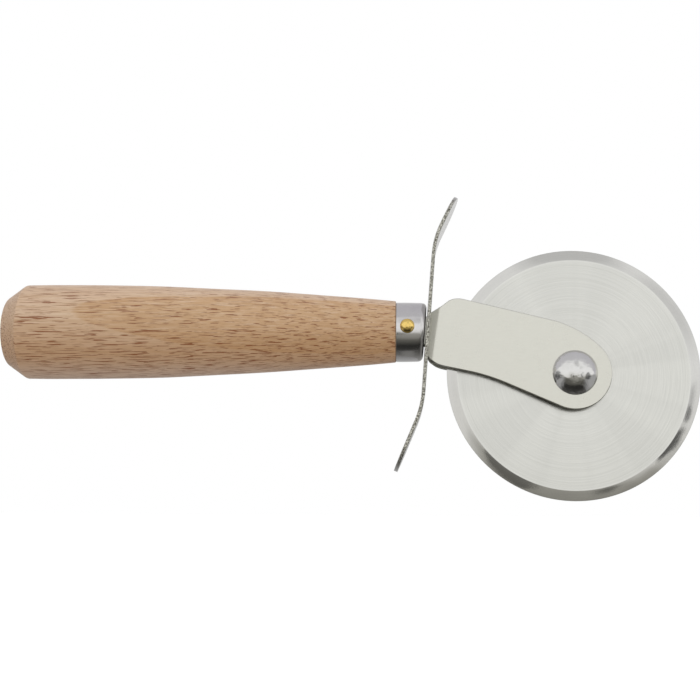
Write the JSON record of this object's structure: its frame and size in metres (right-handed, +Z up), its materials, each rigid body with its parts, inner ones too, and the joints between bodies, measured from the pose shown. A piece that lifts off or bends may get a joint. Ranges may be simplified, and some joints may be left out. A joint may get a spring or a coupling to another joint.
{
  "type": "pastry cutter wheel",
  "caption": "Hand pastry and pizza cutter: a bevelled steel wheel on a rivet between fork plates, with a bent strip guard, a ferrule and a turned wooden handle.",
  "frame": {"origin": "middle of the overall length, on the tool's mid plane, level with the lowest point of the wheel rim", "axes": "+Z up with the handle level and the wheel upright, +X from the handle's butt towards the wheel, +Y along the wheel's axle away from the face that carries the larger rivet head"},
  "size_m": [0.194, 0.0266, 0.0855],
  "materials": {
    "beech": "satin, unvarnished",
    "ferrule_steel": "satin",
    "brass": "polished",
    "guard_steel": "satin with sheared edges",
    "fork_steel": "brushed lengthwise",
    "wheel_steel": "turned in fine rings, ground bevel",
    "polished_steel": "polished",
    "plain_steel": "plain"
  },
  "bodies": {
    "holder": {"handle": "beech", "ferrule": "ferrule_steel", "ferrule_pin": "brass", "guard": "guard_steel", "fork_plate_front": "fork_steel", "fork_plate_rear": "fork_steel", "axle_rivet": "polished_steel", "axle_cap": "polished_steel", "axle_sleeve": "plain_steel", "washer_front": "plain_steel", "washer_rear": "plain_steel"},
    "cutting_wheel": {"wheel": "wheel_steel"}
  },
  "joints": [
    {"name": "wheel_spin", "type": "hinge", "parent": "holder", "child": "cutting_wheel", "pos_m": [0.062, 0, 0.035], "axis": [0, 1, 0], "continuous": true}
  ]
}
